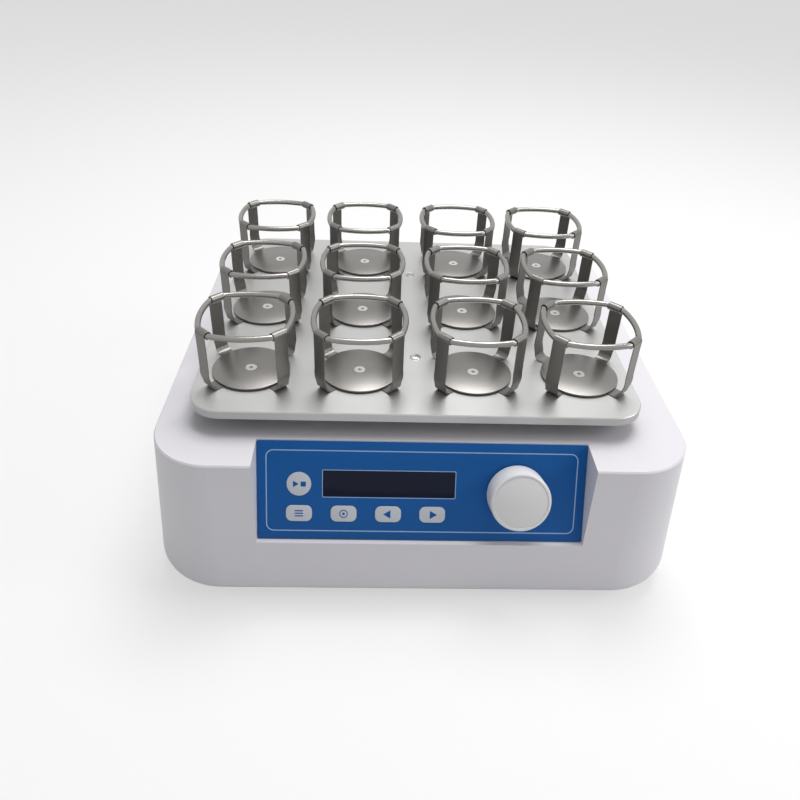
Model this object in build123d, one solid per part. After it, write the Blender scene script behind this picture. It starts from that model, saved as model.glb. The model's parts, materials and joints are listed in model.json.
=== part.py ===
"""Bench-top orbital shaker with twelve spring clamps for small conical flasks.

Millimetres. X runs to the right along the control panel, Y to the back, Z up. The origin is the
crankshaft's axis at table height, which is also the middle of the housing's footprint. The
platform stands where it stopped: its crank pin points back and to the left.
"""

import os
from math import asin, atan2, cos, degrees, pi, radians, sin, sqrt, tan

from build123d import *

os.makedirs("parts", exist_ok=True)

# Housing: a drafted shell, wider at the bottom, with an inward lip that the base pan closes
case_top_width = 354.0
case_top_depth = 334.8
case_top_corner = 40.5
case_draft = 4.6
case_bottom = 6.5
case_top = 118.0
case_wall = 3.0
case_edge_chamfer = 0.9
case_bottom_round = 14.0
case_inner_chamfer = 7.5
lip_width = 9.0

# Sides of the prisms that stand for small round pieces, round holes and hidden discs
small_sides = 6
hole_sides = 12
disc_sides = 20

# Base pan, feet and the screws under it
pan_thickness = 2.0
pan_gap = 0.5
foot_radius = 15.0
foot_taper = 2.0
foot_stem_radius = 3.0
foot_stem_length = 5.0
foot_inset_x = 52.0
foot_inset_y = 48.0
vent_length = 60.0
vent_width = 6.0
vent_pitch = 20.0
vent_count = 3

# Leaning control panel, measured on its face
panel_width = 217.4
panel_height = 67.8
panel_lean = 24.7
panel_thickness = 1.5
panel_side_gap = 0.3
panel_foot_gap = 0.05
ledge_height = 56.4
ledge_depth = 3.1
window_margin_x = 14.0
window_margin_y = 9.0

# Keys: places on the panel's face, from its lower middle
key_width = 17.2
key_height = 11.0
key_corner = 4.0
key_row = 18.6
key_inset = 27.4
key_pitch = 29.5
start_key_radius = 8.1
start_key_row = 38.8
key_proud = 0.3
key_gap = 0.15
key_travel = 0.4
key_flange = 1.0
key_flange_thickness = 1.0
key_flange_gap = 0.1
key_stem_side = 4.0
switch_side = 6.0
switch_body_height = 3.5
switch_button_side = 3.5
switch_button_height = 1.0
switch_gap = 0.05

# Display
display_inset = 86.8
display_row = 39.25
display_width = 87.2
display_height = 17.9
display_gap = 0.15
display_sink = 0.7
display_bezel = 4.0
display_board_width = 98.0
display_board_height = 32.0

# Control board on bosses behind the panel's window
board_thickness = 1.6
board_gap = 5.0
board_margin = 4.0
boss_side = 7.0
boss_inset_x = 5.5
boss_inset_y = 4.5

# Knob and its push-and-turn encoder
knob_x = 62.6
knob_row = 34.2
knob_radius = 19.8
knob_height = 18.0
knob_chamfer = 0.9
knob_wall = 2.4
knob_hub_radius = 6.5
knob_gap = 1.2
knob_travel = 0.5
encoder_side = 13.0
encoder_height = 6.0
bushing_radius = 5.0
bushing_proud = 0.4
bushing_gap = 0.3
plunger_radius = 4.2
spindle_radius = 3.0
spindle_collar_radius = 3.7
spindle_in_knob = 11.0
running_gap = 0.05

# Orbit: pin circle radius and where the pin stands at rest, from +X towards the back
orbit_radius = 5.0
rest_angle = 136.0

# Platform and the carrier plate under it
platform_width = 302.0
platform_depth = 276.0
platform_corner = 22.0
platform_thickness = 6.0
platform_chamfer = 0.6
platform_underside = 130.0
carrier_width = 212.0
carrier_depth = 228.0
carrier_corner = 20.0
carrier_thickness = 8.0
front_window_x = 56.0
front_window_y = -46.0
front_window_width = 64.0
front_window_depth = 60.0
back_window_x = 38.0
back_window_y = 82.0
back_window_width = 42.0
back_window_depth = 40.0
platform_screw_y = 68.0
platform_screw_radius = 2.0
platform_screw_head = 3.2
platform_screw_head_height = 1.4

# Flask clamps
clamp_inner_x = 39.7
clamp_pitch_x = 75.2
clamp_pitch_y = 88.6
strip_thickness = 0.7
strip_width = 10.0
bend_radius = 4.5
arm_foot_reach = 35.0
bulge_height = 12.0
bulge_reach = 36.2
ring_height = 40.5
ring_corner_reach = 33.4
ring_side_reach = 31.8
wire_flat = 1.75
sleeve_gap = 0.3
ring_side_steps = 2
disc_radius = 26.75
disc_thickness = 1.3
clamp_screw_head = 4.0
clamp_screw_head_height = 0.9
clamp_screw_radius = 2.0
screw_hole_gap = 0.1
screw_end_gap = 0.5

# Drive frame with its bearing seats
frame_top = 92.0
frame_thickness = 8.0
frame_width = 236.0
frame_hub_margin = 7.0
frame_middle_y = 5.0
frame_corner = 22.0
leg_side = 16.0
leg_inset_x = 15.0
leg_inset_y = 18.0
main_hub_radius = 25.0
main_hub_bottom = 52.0
idler_hub_radius = 18.0
hub_proud = 2.0
idler_inset = 72.4
idler_angles = (30.0, 150.0, 270.0)

# Bearings, by their outer radius, bore radius and width
main_bearing_outer = 17.5
main_bearing_bore = 7.5
main_bearing_width = 11.0
pin_bearing_outer = 14.0
pin_bearing_bore = 6.0
idler_bearing_outer = 13.0
idler_bearing_bore = 5.0
small_bearing_width = 8.0
main_bearing = (main_bearing_outer, main_bearing_bore, main_bearing_width)
pin_bearing = (pin_bearing_outer, pin_bearing_bore, small_bearing_width)
idler_bearing = (idler_bearing_outer, idler_bearing_bore, small_bearing_width)
seat_gap = 0.02
shaft_gap = 0.03

# Crankshaft, counterweight and idler cranks
shaft_bottom = 31.0
crank_gap = 2.0
crank_disc_radius = 21.0
crank_disc_height = 12.0
pin_end_gap = 0.5
counterweight_gap = 12.0
counterweight_hub = 31.0
counterweight_height = 10.0
counterweight_span = 172.0
counterweight_chords = 10
idler_disc_height = 9.0
idler_disc_margin = 3.0
idler_tail = 8.0
hole_margin = 3.5

# Belt drive
pulley_radius = 48.0
motor_pulley_radius = 12.0
pulley_height = 13.0
pulley_bottom = 34.0
pulley_flange = 1.6
pulley_flange_thickness = 1.4
pulley_sides = 32
motor_pulley_sides = 16
belt_thickness = 1.4
belt_gap = 0.1
belt_side_gap = 0.4
motor_y = 88.0
motor_radius = 35.0
motor_height = 32.0
motor_spindle_radius = 4.0
motor_spindle_depth = 22.0

# Power supply
supply_width = 56.0
supply_length = 120.0
supply_height = 34.0
supply_wall = 1.2
supply_inset = 34.5
supply_y = 30.0
supply_foot = 4.0
supply_foot_side = 8.0

# Mains inlet with its rocker switch, on the back wall
inlet_x = 95.0
inlet_height = 40.0
inlet_flange_width = 68.0
inlet_flange_height = 32.0
inlet_flange_thickness = 3.0
inlet_corner = 3.0
inlet_body_width = 60.0
inlet_body_height = 26.0
inlet_body_depth = 26.0
inlet_fit = 0.2
socket_offset = -14.0
socket_width = 24.2
socket_height = 16.2
socket_corner = 5.0
socket_depth = 18.0
blade_width = 4.0
blade_thickness = 2.0
blade_length = 11.5
blade_pitch = 7.0
blade_drop = 2.0
rocker_offset = 18.0
rocker_width = 13.0
rocker_length = 21.0
rocker_crest = 2.2
rocker_keel = 6.0
rocker_end_slant = 0.8
rocker_pivot_depth = 2.5
rocker_swing = 20.0
rocker_gap = 0.4
rocker_well_depth = 14.0
rocker_pin_radius = 1.5
rocker_pin_reach = 1.5

# Case screws
case_screw_radius = 1.5
case_screw_head = 3.0
case_screw_head_height = 1.8
case_screw_hole_gap = 0.05
pan_screw_x = 105.0


def save(name, *pieces):
    """Write one node, which is one solid or a group of separate solids."""
    shape = pieces[0] if len(pieces) == 1 else Compound(children=list(pieces))
    export_step(shape, "parts/" + name + ".step")


def prism(radius, bottom, top, x=0.0, y=0.0, sides=small_sides):
    """Upright prism between two heights."""
    return Pos(x, y, bottom) * extrude(RegularPolygon(radius, sides), top - bottom)


def shaft(radius, bottom, top, x=0.0, y=0.0):
    """Round shaft, or the round hole for one."""
    return Pos(x, y, bottom) * extrude(Circle(radius), top - bottom)


def shaft_hole(radius, bottom, top, x=0.0, y=0.0):
    """Hole with few faces round a shaft, whose flats lie on its radius."""
    return prism(radius / cos(pi / disc_sides), bottom, top, x, y, disc_sides)


def soft_rectangle(width, height, corner):
    """Rectangle whose corners turn in two chords each."""
    points = []
    for turn, (sx, sy) in enumerate(((1, 1), (-1, 1), (-1, -1), (1, -1))):
        for step in (0, 45, 90):
            dx, dy = on_circle(corner, 90 * turn + step)
            points.append((sx * (width / 2 - corner) + dx, sy * (height / 2 - corner) + dy))
    return Polygon(*points, align=None)


def on_circle(radius, angle):
    """X and Y of a point on a circle about the origin."""
    return radius * cos(radians(angle)), radius * sin(radians(angle))


# Places worked out from the driving dimensions
slope = tan(radians(case_draft))
key_first_x = key_inset - panel_width / 2
display_x = display_inset - panel_width / 2
idler_circle = case_top_depth / 2 - idler_inset
idler_web = orbit_radius + idler_bearing_bore + idler_disc_margin
counterweight_radius = idler_circle - idler_web - counterweight_gap
frame_depth = 2 * (idler_circle + idler_hub_radius + frame_hub_margin)
pin_x, pin_y = on_circle(orbit_radius, rest_angle)
idler_axes = [on_circle(idler_circle, angle) for angle in idler_angles]
platform_top = platform_underside + platform_thickness
carrier_bottom = platform_underside - carrier_thickness
disc_bottom = platform_top + strip_thickness
disc_top = disc_bottom + disc_thickness
pan_bottom = case_bottom - pan_thickness
hub_top = frame_top + hub_proud
crank_bottom = hub_top + crank_gap
crank_top = crank_bottom + crank_disc_height
pin_end = platform_underside - pin_end_gap
motor_bottom = frame_top - frame_thickness - motor_height
clamp_xs = (-clamp_inner_x - clamp_pitch_x, -clamp_inner_x, clamp_inner_x, clamp_inner_x + clamp_pitch_x)
clamp_ys = (-clamp_pitch_y, 0.0, clamp_pitch_y)
clamp_places = [(x, y) for y in clamp_ys for x in clamp_xs]


def case_section(height, inset):
    """Rounded plan of the case at one height, moved inwards by an inset."""
    grow = (case_top - height) * slope - inset
    width = case_top_width + 2 * grow
    depth = case_top_depth + 2 * grow
    return Pos(0, 0, height) * RectangleRounded(width, depth, case_top_corner + grow)


def case_block():
    """Drafted and rounded block of the case's outer form: its left half and the mirror of that."""
    block = extrude(case_section(case_top, 0.0), case_top - case_bottom, dir=(0, 0, -1), taper=-case_draft)
    left = split(block, bisect_by=Plane.YZ, keep=Keep.BOTTOM)
    bottom_edges = [e for e in left.edges() if abs(e.center().Z - case_bottom) < 1e-3 and abs(e.center().X) > 1e-3]
    left = fillet(bottom_edges, case_bottom_round)
    top_edges = [e for e in left.edges() if abs(e.center().Z - case_top) < 1e-3 and abs(e.center().X) > 1e-3]
    left = chamfer(top_edges, case_edge_chamfer)
    return left + mirror(left, about=Plane.YZ)


def case_cavity():
    """Inside of the case, with a sloped foot and corners in a few flats."""
    bottom, top = case_bottom + case_wall, case_top - case_wall
    grow = (case_top - bottom) * slope - case_wall
    width, depth = case_top_width + 2 * grow, case_top_depth + 2 * grow
    floor = Pos(0, 0, bottom) * soft_rectangle(width, depth, case_top_corner + grow)
    cavity = extrude(floor, top - bottom, taper=case_draft)
    return chamfer(cavity.edges().group_by(Axis.Z)[0], case_inner_chamfer)


# The panel's face as a work plane: X to the right, Y up the slope, Z out of the face
front_wall_at_ledge = -case_top_depth / 2 - (case_top - ledge_height) * slope
panel_foot_y = front_wall_at_ledge + ledge_depth
lean = radians(panel_lean)
panel_face = Plane(
    origin=(0, panel_foot_y, ledge_height), x_dir=(1, 0, 0), z_dir=(0, -cos(lean), sin(lean))
)
face_to_board = panel_thickness + case_wall + board_gap
panel_foot = panel_thickness * tan(lean) + panel_foot_gap
switch_top = -face_to_board + switch_body_height + switch_button_height
plunger_bottom = -face_to_board + knob_travel + switch_gap
plunger_top = -panel_thickness


def recess_block(grow):
    """Wedge in front of the panel's seat, grown on all sides by a wall thickness."""
    shift = (panel_thickness + grow) / cos(lean)
    low = ledge_height - grow
    high = case_top + 2 * case_wall
    seat_low = panel_foot_y + (low - ledge_height) * tan(lean) + shift
    seat_high = panel_foot_y + (high - ledge_height) * tan(lean) + shift
    outside = -case_top_depth
    profile = Polygon((seat_low, low), (seat_high, high), (outside, high), (outside, low), align=None)
    half = panel_width / 2 + panel_side_gap + grow
    return Plane.YZ.offset(-half) * extrude(profile, 2 * half, dir=(0, 0, 1))


def panel_block(width, height, x, row, low, high, corner=0.0):
    """Rectangular block on the panel, between two depths measured out of its face."""
    shape = soft_rectangle(width, height, corner) if corner else Rectangle(width, height)
    return panel_face * Pos(x, row, low) * extrude(shape, high - low)


def panel_prism(radius, x, row, low, high, sides=small_sides):
    """Prism on the panel, between two depths measured out of its face."""
    return panel_face * Pos(x, row, low) * extrude(RegularPolygon(radius, sides), high - low)


# The back wall as a work plane at the inlet: X along the wall, Y up, Z outwards
inlet_wall_y = case_top_depth / 2 + (case_top - inlet_height) * slope
back_face = Plane(
    origin=(inlet_x, inlet_wall_y, inlet_height),
    x_dir=(-1, 0, 0),
    z_dir=(0, cos(radians(case_draft)), sin(radians(case_draft))),
)

board_width = panel_width - 2 * board_margin
board_bosses = [
    (sx * (board_width / 2 - boss_inset_x), panel_height / 2 + sy * (panel_height / 2 - boss_inset_y))
    for sx in (-1, 1)
    for sy in (-1, 1)
]
pan_inset = case_bottom_round + pan_gap
opening_inset = pan_inset + lip_width
pan_half_x = case_top_width / 2 + (case_top - case_bottom) * slope - pan_inset
pan_half_y = case_top_depth / 2 + (case_top - case_bottom) * slope - pan_inset
screw_line_y = pan_half_y - lip_width / 2
supply_x = supply_inset - pan_half_x
pan_screws = [(sx * pan_screw_x, sy * screw_line_y) for sx in (-1, 1) for sy in (-1, 1)]
foot_places = [
    (sx * (pan_half_x - foot_inset_x), sy * (pan_half_y - foot_inset_y)) for sx in (-1, 1) for sy in (-1, 1)
]
crank_holes = [((0.0, 0.0), pin_bearing_bore)] + [(axis, idler_bearing_bore) for axis in idler_axes]


def housing_cover():
    """Shell with the leaning recess, the crank holes and the cut-out for the inlet."""
    shell = case_block() - recess_block(0.0)
    shell -= case_cavity() - recess_block(case_wall)
    shell -= extrude(case_section(case_bottom, opening_inset), case_wall)
    window_width = panel_width - 2 * window_margin_x
    window_height = panel_height - 2 * window_margin_y
    back = panel_thickness + case_wall
    shell -= panel_block(window_width, window_height, 0, panel_height / 2, -2 * back, 0)
    hole = case_screw_radius + case_screw_hole_gap
    for x, row in board_bosses:
        shell += panel_block(boss_side, boss_side, x, row, -face_to_board, -back)
        shell -= panel_prism(hole, x, row, -face_to_board, -back)
    for (x, y), pin_radius in crank_holes:
        radius = orbit_radius + pin_radius + hole_margin
        shell -= prism(radius, case_top - case_wall, case_top, x, y, hole_sides)
    shell -= back_face * Pos(0, 0, -2 * case_wall) * extrude(
        Rectangle(inlet_body_width + 2 * inlet_fit, inlet_body_height + 2 * inlet_fit), 4 * case_wall
    )
    for x, y in pan_screws:
        shell -= prism(hole, case_bottom, case_bottom + case_wall, x, y)
    return shell


def base_pan():
    """Steel plate under the lip, with vent slots, foot holes and screw holes."""
    pan = Pos(0, 0, pan_bottom) * extrude(
        RectangleRounded(2 * pan_half_x, 2 * pan_half_y, case_top_corner), pan_thickness
    )
    for row in range(vent_count):
        y = (row - (vent_count - 1) / 2) * vent_pitch
        for side in (-1, 1):
            pan -= Pos(side * vent_length, y, pan_bottom) * extrude(
                Rectangle(vent_length, vent_width), pan_thickness
            )
    for x, y in foot_places:
        pan -= prism(foot_stem_radius + screw_hole_gap, pan_bottom, case_bottom, x, y)
    for x, y in pan_screws:
        pan -= prism(case_screw_radius + screw_hole_gap, pan_bottom, case_bottom, x, y)
    return pan


def rubber_foot(x, y):
    """Tapered foot whose stem is pulled through the base pan."""
    pad = extrude(
        RegularPolygon(foot_radius, hole_sides), pan_bottom, taper=-degrees(atan2(foot_taper, pan_bottom))
    )
    return Pos(x, y, 0) * pad + prism(foot_stem_radius, pan_bottom, pan_bottom + foot_stem_length, x, y)


def case_screw(plane, length):
    """Pan-head screw whose head bears on a plane and whose shank goes down from it."""
    shank = extrude(RegularPolygon(case_screw_radius, small_sides), -length)
    return plane * (extrude(RegularPolygon(case_screw_head, small_sides), case_screw_head_height) + shank)


# Column, row and radius of each key; only the round one has a radius
key_places = [(key_first_x, start_key_row, start_key_radius)]
key_places += [(key_first_x + column * key_pitch, key_row, None) for column in range(4)]
key_names = ("start_stop_key", "menu_key", "mode_key", "left_key", "right_key")


def key_outline(x, row, radius, grow, low, high):
    """A key's outline grown by a gap, between two depths out of the panel's face."""
    if radius:
        return panel_prism(radius + grow, x, row, low, high, disc_sides)
    return panel_block(
        key_width + 2 * grow, key_height + 2 * grow, x, row, low, high, key_corner + grow
    )


def control_panel():
    """Blue plate with cut-outs for the keys, the display and the encoder's bushing."""
    height = panel_height - panel_foot
    plate = panel_block(panel_width, height, 0, panel_foot + height / 2, -panel_thickness, 0)
    for x, row, radius in key_places:
        plate -= key_outline(x, row, radius, key_gap, -panel_thickness, 0)
    plate -= panel_block(display_width, display_height, display_x, display_row, -panel_thickness, 0)
    hole = bushing_radius + bushing_gap
    return plate - panel_prism(hole, knob_x, knob_row, -panel_thickness, 0, hole_sides)


def key(x, row, radius):
    """Key cap in its cut-out, with a flange behind the panel and a stem to its switch."""
    flange_top = -panel_thickness - key_flange_gap
    flange_bottom = flange_top - key_flange_thickness
    width, height = (2 * radius, 2 * radius) if radius else (key_width, key_height)
    body = key_outline(x, row, radius, 0, flange_bottom, key_proud)
    body += panel_block(
        width + 2 * key_flange, height + 2 * key_flange, x, row, flange_bottom, flange_top
    )
    stem_end = key_travel + switch_gap + switch_top
    return body + panel_block(key_stem_side, key_stem_side, x, row, stem_end, flange_bottom)


def control_board():
    """Printed board behind the panel, and the key switches soldered on it."""
    back = -face_to_board - board_thickness
    board = panel_block(board_width, panel_height, 0, panel_height / 2, back, -face_to_board)
    for x, row in board_bosses:
        board -= panel_prism(case_screw_radius + screw_hole_gap, x, row, back, -face_to_board)
    body_top = switch_top - switch_button_height
    switches = [
        panel_block(switch_side, switch_side, x, row, -face_to_board, body_top)
        + panel_block(switch_button_side, switch_button_side, x, row, body_top, switch_top)
        for x, row, radius in key_places
    ]
    return [board] + switches


def display_module():
    """Display glass in its bezel on a small board that stands on the control board."""
    board_top = -face_to_board + board_thickness
    bezel_top = -panel_thickness
    module = panel_block(
        display_board_width, display_board_height, display_x, display_row, -face_to_board, board_top
    )
    module += panel_block(
        display_width + 2 * display_bezel,
        display_height + 2 * display_bezel,
        display_x,
        display_row,
        board_top,
        bezel_top,
    )
    module += panel_block(
        display_width - 2 * display_gap,
        display_height - 2 * display_gap,
        display_x,
        display_row,
        bezel_top,
        -display_sink,
    )
    return module


def encoder_body():
    """Encoder on the control board, with a bushing through the panel."""
    top = -face_to_board + encoder_height
    body = panel_block(encoder_side, encoder_side, knob_x, knob_row, -face_to_board, top)
    body += panel_prism(bushing_radius, knob_x, knob_row, top, bushing_proud, hole_sides)
    bore = plunger_radius + running_gap
    return body - panel_prism(bore, knob_x, knob_row, -face_to_board, bushing_proud)


def encoder_plunger():
    """Sleeve that the push moves; its flats keep it from turning and the spindle turns in it."""
    sleeve = panel_prism(plunger_radius, knob_x, knob_row, plunger_bottom, plunger_top)
    bore = (spindle_radius + running_gap) / cos(pi / disc_sides)
    return sleeve - panel_prism(bore, knob_x, knob_row, plunger_bottom, plunger_top, disc_sides)


def encoder_spindle():
    """Round spindle with a collar that pushes the plunger in."""
    end = knob_gap + spindle_in_knob
    spindle = panel_prism(spindle_radius, knob_x, knob_row, plunger_bottom, end, disc_sides)
    collar = plunger_top + running_gap
    return spindle + panel_prism(
        spindle_collar_radius, knob_x, knob_row, collar, collar + knob_travel, hole_sides
    )


def knob():
    """Hollow knob with a hub on the spindle."""
    body = extrude(Circle(knob_radius), knob_height)
    body = chamfer(body.edges().group_by(Axis.Z)[-1], knob_chamfer)
    pocket = RegularPolygon(knob_radius - knob_wall, disc_sides)
    pocket -= RegularPolygon(knob_hub_radius, hole_sides)
    body -= extrude(pocket, knob_height - knob_wall)
    body -= extrude(RegularPolygon(spindle_radius + seat_gap, disc_sides), spindle_in_knob)
    return panel_face * Pos(knob_x, knob_row, knob_gap) * body


def platform():
    """Flat plate that carries the clamps, with their screw holes."""
    plate = extrude(RectangleRounded(platform_width, platform_depth, platform_corner), platform_thickness)
    plate = chamfer(plate.edges().group_by(Axis.Z)[-1], platform_chamfer)
    for x, y in clamp_places:
        plate -= prism(clamp_screw_radius + screw_hole_gap, 0, platform_thickness, x, y)
    head = platform_screw_head + screw_hole_gap
    for y in (-platform_screw_y, platform_screw_y):
        plate -= prism(platform_screw_radius + screw_hole_gap, 0, platform_thickness, 0, y)
        plate -= prism(head, platform_thickness - platform_screw_head_height, platform_thickness, 0, y)
    return Pos(pin_x, pin_y, platform_underside) * plate


def platform_screw(y):
    """Socket screw, flush in the platform, down into the carrier plate."""
    head_bottom = platform_top - platform_screw_head_height
    head = prism(platform_screw_head, head_bottom, platform_top, pin_x, pin_y + y)
    return head + prism(platform_screw_radius, carrier_bottom, head_bottom, pin_x, pin_y + y)


def carrier_plate():
    """Plate under the platform with a bearing seat over each crank pin."""
    outline = RectangleRounded(carrier_width, carrier_depth, carrier_corner)
    for side in (-1, 1):
        outline -= Pos(side * front_window_x, front_window_y) * Rectangle(front_window_width, front_window_depth)
        outline -= Pos(side * back_window_x, back_window_y) * Rectangle(back_window_width, back_window_depth)
    outline -= RegularPolygon(pin_bearing_outer + seat_gap, disc_sides)
    for x, y in idler_axes:
        outline -= Pos(x, y) * RegularPolygon(idler_bearing_outer + seat_gap, disc_sides)
    for y in (-platform_screw_y, platform_screw_y):
        outline -= Pos(0, y) * RegularPolygon(platform_screw_radius + seat_gap, small_sides)
    return Pos(pin_x, pin_y, carrier_bottom) * extrude(outline, carrier_thickness)


def bearing(size, bottom, x=0.0, y=0.0):
    """Ball bearing as one ring with its running clearance on the shaft."""
    outer, bore, width = size
    body = prism(outer, bottom, bottom + width, x, y, disc_sides)
    return body - shaft(bore + shaft_gap, bottom, bottom + width, x, y)


def band(points, thickness):
    """Flat band of even thickness to the left of a run of points."""
    offset_points = []
    for i, (x, y) in enumerate(points):
        before = points[max(i - 1, 0)]
        after = points[min(i + 1, len(points) - 1)]
        ends = [(before, (x, y)), ((x, y), after)]
        angles = [atan2(b[1] - a[1], b[0] - a[0]) for a, b in ends if a != b]
        middle = sum(angles) / len(angles)
        reach = thickness / cos(middle - angles[0])
        offset_points.append((x - reach * sin(middle), y + reach * cos(middle)))
    return Polygon(*points, *reversed(offset_points), align=None)


def clamp_frame():
    """Strip spider: four arms bent up from under the disc, each rolled round the ring at its top."""
    sleeve_flat = wire_flat + sleeve_gap + strip_thickness
    top_reach = ring_corner_reach + sleeve_flat
    ring_level = disc_top - platform_top + ring_height
    points = [
        (0.0, 0.0),
        (arm_foot_reach - bend_radius, 0.0),
        (arm_foot_reach, bend_radius),
        (bulge_reach, bulge_height),
        (top_reach, ring_level),
    ]
    half_turn = 180 / small_sides
    sleeve = RegularPolygon(sleeve_flat, small_sides, major_radius=False, rotation=half_turn)
    sleeve -= RegularPolygon(wire_flat + sleeve_gap, small_sides, major_radius=False, rotation=half_turn)
    profile = band(points, strip_thickness) + Pos(ring_corner_reach, ring_level) * sleeve
    arm = Plane.XZ.offset(-strip_width / 2) * extrude(profile, strip_width)
    spider = Rot(0, 0, 45) * arm
    for turn in (135, 225, 315):
        spider += Rot(0, 0, turn) * arm
    return spider - prism(clamp_screw_radius + screw_hole_gap, 0, strip_thickness)


def ring_path():
    """Corner points of the clamp ring: a straight run in each sleeve and a bowed side between them."""
    run = strip_width / 2 + sleeve_gap
    corner_x = (ring_corner_reach - run) / sqrt(2)
    corner_y = (ring_corner_reach + run) / sqrt(2)
    rise = ring_side_reach - corner_y
    bow = (corner_x**2 + rise**2) / (2 * rise)
    half_angle = asin(corner_x / bow)
    side = []
    for step in range(ring_side_steps + 1):
        angle = half_angle * (1 - 2 * step / ring_side_steps)
        side.append((bow * sin(angle), ring_side_reach - bow * (1 - cos(angle))))
    path = []
    for turn in range(4):
        for x, y in side:
            path.append(Vector(x, y, 0).rotate(Axis.Z, 90 * turn))
    return path


def clamp_ring():
    """Closed tension ring: a prism round the path, with a mitre at each of its corners."""
    path = ring_path()
    reach = wire_flat / cos(pi / small_sides)
    sections = []
    for i, point in enumerate(path):
        before = (point - path[i - 1]).normalized()
        after = (path[(i + 1) % len(path)] - point).normalized()
        outward = (before + after).normalized().cross(Vector(0, 0, 1))
        stretch = 1 / outward.dot(before.cross(Vector(0, 0, 1)))
        section = []
        for side in range(small_sides):
            angle = (2 * side + 1) * pi / small_sides
            lift = Vector(0, 0, reach * sin(angle))
            section.append(point + outward * (reach * cos(angle) * stretch) + lift)
        sections.append(section)
    faces = []
    for i, section in enumerate(sections):
        following = sections[(i + 1) % len(sections)]
        for side in range(small_sides):
            other = (side + 1) % small_sides
            corners = [section[side], section[other], following[other], following[side]]
            faces.append(Face(Wire.make_polygon(corners)))
    return Solid(Shell(faces))


def clamp_disc():
    """Seat disc over the spider, with a sunk screw hole."""
    plate = prism(disc_radius, disc_bottom, disc_top, 0, 0, disc_sides)
    plate -= prism(clamp_screw_radius + screw_hole_gap, disc_bottom, disc_top)
    return plate - prism(clamp_screw_head + screw_hole_gap, disc_top - clamp_screw_head_height, disc_top)


def clamp_screw():
    """Flush screw through disc and spider into the platform."""
    head_bottom = disc_top - clamp_screw_head_height
    head = prism(clamp_screw_head, head_bottom, disc_top)
    return head + prism(clamp_screw_radius, platform_underside + screw_end_gap, head_bottom)


def drive_frame():
    """Cast plate on four legs, with hubs for the crankshaft and the idler cranks."""
    plate_bottom = frame_top - frame_thickness
    plate = Pos(0, frame_middle_y, plate_bottom) * extrude(
        soft_rectangle(frame_width, frame_depth, frame_corner), frame_thickness
    )
    plate += prism(main_hub_radius, main_hub_bottom, hub_top, 0, 0, hole_sides)
    for x, y in idler_axes:
        plate += prism(idler_hub_radius, plate_bottom, hub_top, x, y, hole_sides)
    leg_x, leg_y = frame_width / 2 - leg_inset_x, frame_depth / 2 - leg_inset_y
    for x in (-leg_x, leg_x):
        for y in (frame_middle_y - leg_y, frame_middle_y + leg_y):
            leg = extrude(Rectangle(leg_side, leg_side), plate_bottom - case_bottom)
            plate += Pos(x, y, case_bottom) * leg
    plate -= prism(main_bearing_outer + seat_gap, main_hub_bottom, hub_top, 0, 0, disc_sides)
    for x, y in idler_axes:
        plate -= prism(idler_bearing_outer + seat_gap, plate_bottom, hub_top, x, y, disc_sides)
    return plate


def drive_bearings():
    """Two bearings for the crankshaft and one for each idler crank."""
    bearings = [bearing(main_bearing, main_hub_bottom), bearing(main_bearing, hub_top - main_bearing_width)]
    bearings += [bearing(idler_bearing, hub_top - small_bearing_width, x, y) for x, y in idler_axes]
    return bearings


def crankshaft():
    """Main shaft, crank disc and eccentric pin in one piece."""
    body = shaft(main_bearing_bore, shaft_bottom, crank_bottom)
    body += prism(crank_disc_radius, crank_bottom, crank_top, 0, 0, disc_sides)
    return body + shaft(pin_bearing_bore, crank_top, pin_end, pin_x, pin_y)


def counterweight():
    """Steel sector on the crank disc, opposite the pin."""
    start = rest_angle + 180 - counterweight_span / 2
    step = counterweight_span / counterweight_chords
    rim = [on_circle(counterweight_radius, start + i * step) for i in range(counterweight_chords + 1)]
    outline = Polygon((0, 0), *rim, align=None) + RegularPolygon(counterweight_hub, disc_sides)
    outline -= RegularPolygon(crank_disc_radius + seat_gap, disc_sides)
    return Pos(0, 0, crank_bottom) * extrude(outline, counterweight_height)


def idler_crank(x, y):
    """Short crank with a journal below and the same eccentric pin above."""
    journal_bottom = hub_top - small_bearing_width - idler_tail
    web_top = crank_bottom + idler_disc_height
    body = shaft(idler_bearing_bore, journal_bottom, crank_bottom, x, y)
    body += prism(idler_web, crank_bottom, web_top, x, y, disc_sides)
    return body + shaft(idler_bearing_bore, web_top, pin_end, x + pin_x, y + pin_y)


def pulley(radius, sides, x, y):
    """Flanged pulley, whose flats stand for the teeth that hold the belt."""
    top = pulley_bottom + pulley_height
    body = prism(radius, pulley_bottom, top, x, y, sides)
    for low in (pulley_bottom, top - pulley_flange_thickness):
        body += prism(radius + pulley_flange, low, low + pulley_flange_thickness, x, y, sides)
    return body


def crank_pulley():
    """Large pulley on the crankshaft."""
    body = pulley(pulley_radius, pulley_sides, 0, 0)
    return body - shaft_hole(main_bearing_bore + seat_gap, pulley_bottom, pulley_bottom + pulley_height)


def motor_pulley():
    """Small pulley on the motor's own spindle."""
    body = pulley(motor_pulley_radius, motor_pulley_sides, 0, motor_y)
    spindle_bottom = pulley_bottom + pulley_height
    spindle_top = motor_bottom + motor_spindle_depth
    return body + shaft(motor_spindle_radius, spindle_bottom, spindle_top, 0, motor_y)


def motor():
    """Flat motor hung under the drive frame, with the bore that its spindle turns in."""
    bore_top = motor_bottom + motor_spindle_depth + running_gap
    body = prism(motor_radius, motor_bottom, motor_bottom + motor_height, 0, motor_y, disc_sides)
    return body - shaft_hole(motor_spindle_radius + running_gap, motor_bottom, bore_top, 0, motor_y)


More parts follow.
